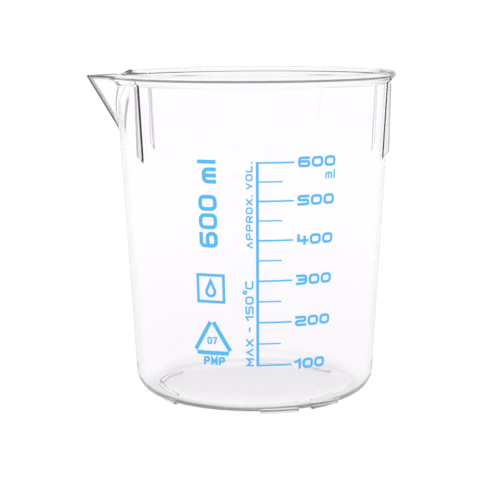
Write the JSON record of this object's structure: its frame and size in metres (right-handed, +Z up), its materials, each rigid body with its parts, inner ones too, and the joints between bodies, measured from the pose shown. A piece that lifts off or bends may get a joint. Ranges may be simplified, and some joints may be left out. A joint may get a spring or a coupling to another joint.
{
  "type": "plastic graduated beaker",
  "caption": "Low-form clear plastic laboratory beaker with a V pouring spout, rolled rim, stacking ribs, small feet and a blue printed volume scale.",
  "frame": {"origin": "on the plane of the feet's undersides, under the middle of the vessel's bounding box; the vessel's own axis stands 4.8 mm along +X from it, because the spout reaches out along -X", "axes": "+Z up along the vessel's axis; the spout points along -X; the printed scale faces -Y"},
  "size_m": [0.117, 0.1074, 0.1236],
  "materials": {
    "clear_plastic": "clear, very slightly hazy polymethylpentene with a smooth moulded surface",
    "blue_ink": "light blue screen-printing ink, matt"
  },
  "bodies": {
    "root": {"vessel": "clear_plastic", "graduation_scale": "blue_ink", "numeral_100": "blue_ink", "numeral_200": "blue_ink", "numeral_300": "blue_ink", "numeral_400": "blue_ink", "numeral_500": "blue_ink", "numeral_600": "blue_ink", "unit_ml": "blue_ink", "approx_volume_legend": "blue_ink", "max_temperature_legend": "blue_ink", "capacity_legend": "blue_ink", "droplet_symbol": "blue_ink", "triangle_symbol": "blue_ink", "material_code": "blue_ink"}
  },
  "joints": []
}
